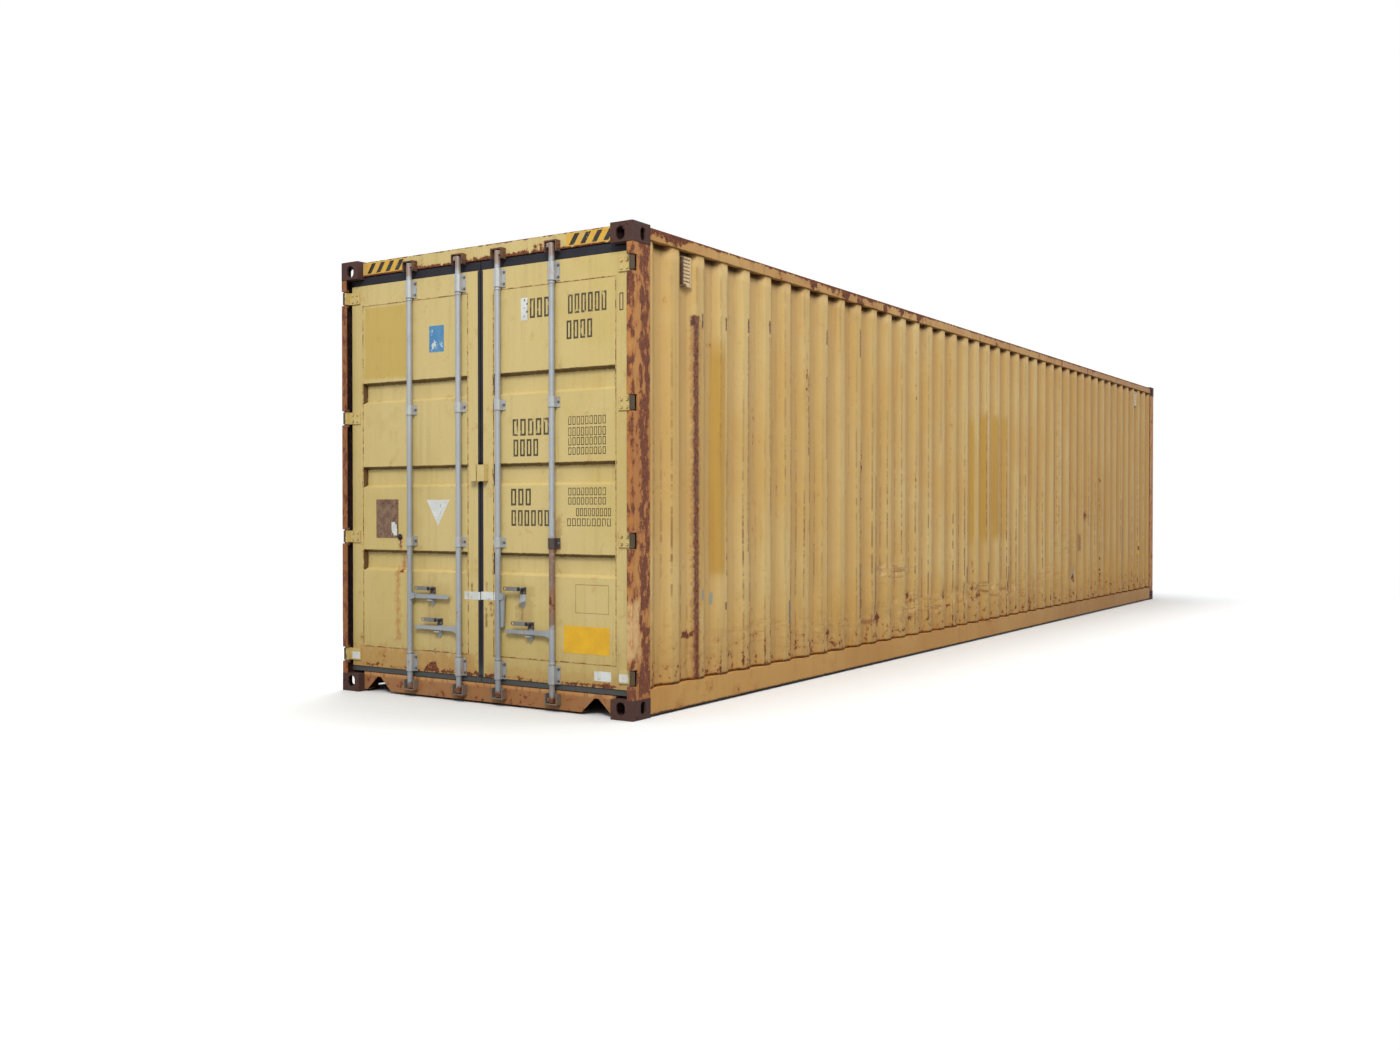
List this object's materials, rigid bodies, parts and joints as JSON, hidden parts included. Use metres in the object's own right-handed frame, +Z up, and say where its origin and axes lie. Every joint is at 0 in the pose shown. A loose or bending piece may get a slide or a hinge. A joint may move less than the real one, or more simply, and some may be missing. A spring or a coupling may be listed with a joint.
{
  "type": "shipping container",
  "caption": "High-cube dry freight container with pressed steel walls, hollow corner castings and a pair of doors with lock bars, handles and hasps.",
  "frame": {"origin": "on the ground, at the middle of the base", "axes": "+X along the length from the doors to the blind end, +Y across towards the side of the left door as seen from outside, +Z up"},
  "size_m": [12.192, 2.438, 2.896],
  "materials": {
    "wall_paint": "weathered yellow paint",
    "door_paint": "weathered yellow paint",
    "post_paint": "yellow paint mostly rusted through",
    "casting_steel": "rusty cast steel",
    "underside_paint": "dark underbody coating",
    "bare_steel": "worn steel",
    "galvanised_steel": "dull galvanised",
    "gasket_rubber": "black rubber",
    "vent_plastic": "painted plastic",
    "floor_wood": "worn plywood"
  },
  "bodies": {
    "container": {"casting_bottom_door_left": "casting_steel", "casting_bottom_door_right": "casting_steel", "casting_bottom_front_left": "casting_steel", "casting_bottom_front_right": "casting_steel", "casting_top_door_left": "casting_steel", "casting_top_door_right": "casting_steel", "casting_top_front_left": "casting_steel", "casting_top_front_right": "casting_steel", "bottom_rail_left": "wall_paint", "bottom_rail_right": "wall_paint", "top_rail_left": "wall_paint", "top_rail_right": "wall_paint", "side_wall_left": "wall_paint", "side_wall_right": "wall_paint", "front_wall": "wall_paint", "roof_panel": "wall_paint", "floor_boards": "floor_wood", "cross_members": "underside_paint", "gooseneck_tunnel": "underside_paint", "tunnel_side_left": "underside_paint", "tunnel_side_right": "underside_paint", "door_post_left": "post_paint", "door_post_right": "post_paint", "front_post_left": "wall_paint", "front_post_right": "wall_paint", "front_header": "wall_paint", "front_sill": "wall_paint", "door_header": "door_paint", "door_sill": "door_paint", "hinge_pins": "bare_steel", "cam_keepers": "galvanised_steel", "ventilators": "vent_plastic"},
    "door_left": {"door_left_frame": "door_paint", "door_left_panel": "door_paint", "door_left_gasket": "gasket_rubber", "door_left_hinges": "bare_steel", "door_left_bar_guides": "galvanised_steel", "door_left_retainers": "galvanised_steel", "door_left_seam_cover": "door_paint"},
    "door_right": {"door_right_frame": "door_paint", "door_right_panel": "door_paint", "door_right_gasket": "gasket_rubber", "door_right_hinges": "bare_steel", "door_right_bar_guides": "galvanised_steel", "door_right_retainers": "galvanised_steel", "door_right_seam_cover": "door_paint"},
    "bar_1": {"lock_bar_1": "galvanised_steel"},
    "handle_1": {"handle_1": "galvanised_steel"},
    "hasp_1": {"hasp_1": "galvanised_steel"},
    "bar_2": {"lock_bar_2": "galvanised_steel"},
    "handle_2": {"handle_2": "galvanised_steel"},
    "hasp_2": {"hasp_2": "galvanised_steel"},
    "bar_3": {"lock_bar_3": "galvanised_steel"},
    "handle_3": {"handle_3": "galvanised_steel"},
    "hasp_3": {"hasp_3": "galvanised_steel"},
    "bar_4": {"lock_bar_4": "galvanised_steel"},
    "handle_4": {"handle_4": "galvanised_steel"},
    "hasp_4": {"hasp_4": "galvanised_steel"}
  },
  "joints": [
    {"name": "door_left_hinge", "type": "hinge", "parent": "container", "child": "door_left", "pos_m": [-6.076, 1.199, 0.17], "axis": [0, 0, -1], "range_deg": [0, 265]},
    {"name": "door_right_hinge", "type": "hinge", "parent": "container", "child": "door_right", "pos_m": [-6.076, -1.199, 0.17], "axis": [0, 0, 1], "range_deg": [0, 265]},
    {"name": "bar_1_turn", "type": "hinge", "parent": "door_left", "child": "bar_1", "pos_m": [-6.072, 0.599, 1], "axis": [0, 0, 1], "range_deg": [-90, 0]},
    {"name": "handle_1_lift", "type": "hinge", "parent": "bar_1", "child": "handle_1", "pos_m": [-6.072, 0.561, 0.664], "axis": [1, 0, 0], "range_deg": [-8, 0]},
    {"name": "hasp_1_swing", "type": "hinge", "parent": "door_left", "child": "hasp_1", "pos_m": [-6.0905, 0.414, 0.717], "axis": [-1, 0, 0], "range_deg": [0, 90]},
    {"name": "bar_2_turn", "type": "hinge", "parent": "door_left", "child": "bar_2", "pos_m": [-6.072, 0.166, 1], "axis": [0, 0, -1], "range_deg": [-90, 0]},
    {"name": "handle_2_lift", "type": "hinge", "parent": "bar_2", "child": "handle_2", "pos_m": [-6.072, 0.204, 0.463], "axis": [-1, 0, 0], "range_deg": [-8, 0]},
    {"name": "hasp_2_swing", "type": "hinge", "parent": "door_left", "child": "hasp_2", "pos_m": [-6.0905, 0.351, 0.516], "axis": [-1, 0, 0], "range_deg": [0, 90]},
    {"name": "bar_3_turn", "type": "hinge", "parent": "door_right", "child": "bar_3", "pos_m": [-6.072, -0.166, 1], "axis": [0, 0, 1], "range_deg": [-90, 0]},
    {"name": "handle_3_lift", "type": "hinge", "parent": "bar_3", "child": "handle_3", "pos_m": [-6.072, -0.204, 0.685], "axis": [1, 0, 0], "range_deg": [-50, 0]},
    {"name": "hasp_3_swing", "type": "hinge", "parent": "door_right", "child": "hasp_3", "pos_m": [-6.0905, -0.351, 0.738], "axis": [-1, 0, 0], "range_deg": [0, 90]},
    {"name": "bar_4_turn", "type": "hinge", "parent": "door_right", "child": "bar_4", "pos_m": [-6.072, -0.599, 1], "axis": [0, 0, -1], "range_deg": [-90, 0]},
    {"name": "handle_4_lift", "type": "hinge", "parent": "bar_4", "child": "handle_4", "pos_m": [-6.072, -0.561, 0.473], "axis": [-1, 0, 0], "range_deg": [-8, 0]},
    {"name": "hasp_4_swing", "type": "hinge", "parent": "door_right", "child": "hasp_4", "pos_m": [-6.0905, -0.414, 0.526], "axis": [-1, 0, 0], "range_deg": [0, 90]}
  ]
}
